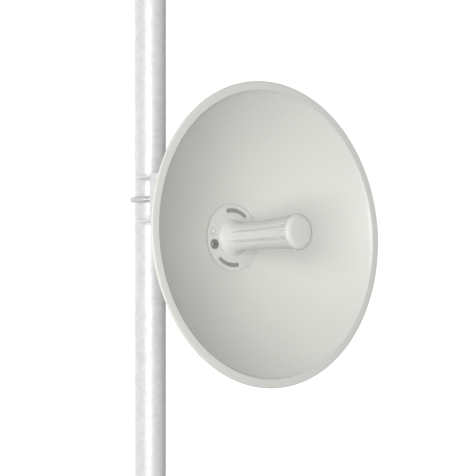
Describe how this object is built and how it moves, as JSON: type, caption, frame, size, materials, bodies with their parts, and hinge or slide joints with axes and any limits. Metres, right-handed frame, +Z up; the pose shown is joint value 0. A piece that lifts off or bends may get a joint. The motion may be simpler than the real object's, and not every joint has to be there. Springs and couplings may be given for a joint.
{
  "type": "dish antenna on a mast",
  "caption": "Round wireless bridge dish with a fluted boom feed, on a tilting bracket clamped to a galvanised mast pipe.",
  "frame": {"origin": "centre of the flat foot of the mast", "axes": "+Z up the mast; the dish looks along -Y, tilted 3.5 degrees up; +X is to the right of someone who faces the dish"},
  "size_m": [0.44, 0.3727, 0.9],
  "materials": {
    "galvanised_steel": "hot-dip galvanised, satin",
    "zinc_plated_bolt": "bright zinc plated",
    "powder_coated_sheet": "light grey powder coat, satin",
    "moulded_plastic": "light grey, fine moulded texture",
    "dark_screw": "black oxide",
    "black_plastic": "black, matt",
    "cast_aluminium": "as cast"
  },
  "bodies": {
    "mast": {"mast_tube": "galvanised_steel", "mast_foot_plug": "black_plastic", "mast_top_plug": "black_plastic"},
    "pole_clamp": {"pole_bracket": "galvanised_steel", "u_bolt": "zinc_plated_bolt", "u_bolt_washer_left": "zinc_plated_bolt", "u_bolt_washer_right": "zinc_plated_bolt", "u_bolt_nut_left": "zinc_plated_bolt", "u_bolt_nut_right": "zinc_plated_bolt", "pivot_bolt": "zinc_plated_bolt", "pivot_nut": "zinc_plated_bolt", "pivot_washer_left": "zinc_plated_bolt", "pivot_washer_right": "zinc_plated_bolt"},
    "dish": {"lock_bolt": "zinc_plated_bolt", "lock_nut": "zinc_plated_bolt", "lock_washer_left": "zinc_plated_bolt", "lock_washer_right": "zinc_plated_bolt", "reflector": "powder_coated_sheet", "hub_cover": "moulded_plastic", "feed_lug_upper": "moulded_plastic", "feed_lug_lower": "moulded_plastic", "hub_screw_left": "dark_screw", "hub_screw_right": "dark_screw", "hub_boss_left": "moulded_plastic", "hub_boss_right": "moulded_plastic", "feed_body": "moulded_plastic", "feed_cap": "moulded_plastic", "hub_ring": "cast_aluminium", "tilt_arm_left": "galvanised_steel", "tilt_arm_right": "galvanised_steel", "arm_bolt_1": "zinc_plated_bolt", "arm_bolt_2": "zinc_plated_bolt", "arm_bolt_3": "zinc_plated_bolt", "arm_bolt_4": "zinc_plated_bolt", "rear_housing": "moulded_plastic", "housing_cover": "moulded_plastic", "port_gland": "black_plastic", "ground_screw": "zinc_plated_bolt"}
  },
  "joints": [
    {"name": "azimuth", "type": "hinge", "parent": "mast", "child": "pole_clamp", "pos_m": [0, 0, 0.5088], "axis": [0, 0, 1], "range_deg": [-180, 180]},
    {"name": "elevation", "type": "hinge", "parent": "pole_clamp", "child": "dish", "pos_m": [0, -0.082, 0.533], "axis": [-1, 0, 0], "range_deg": [-23.5, 16.5]}
  ]
}
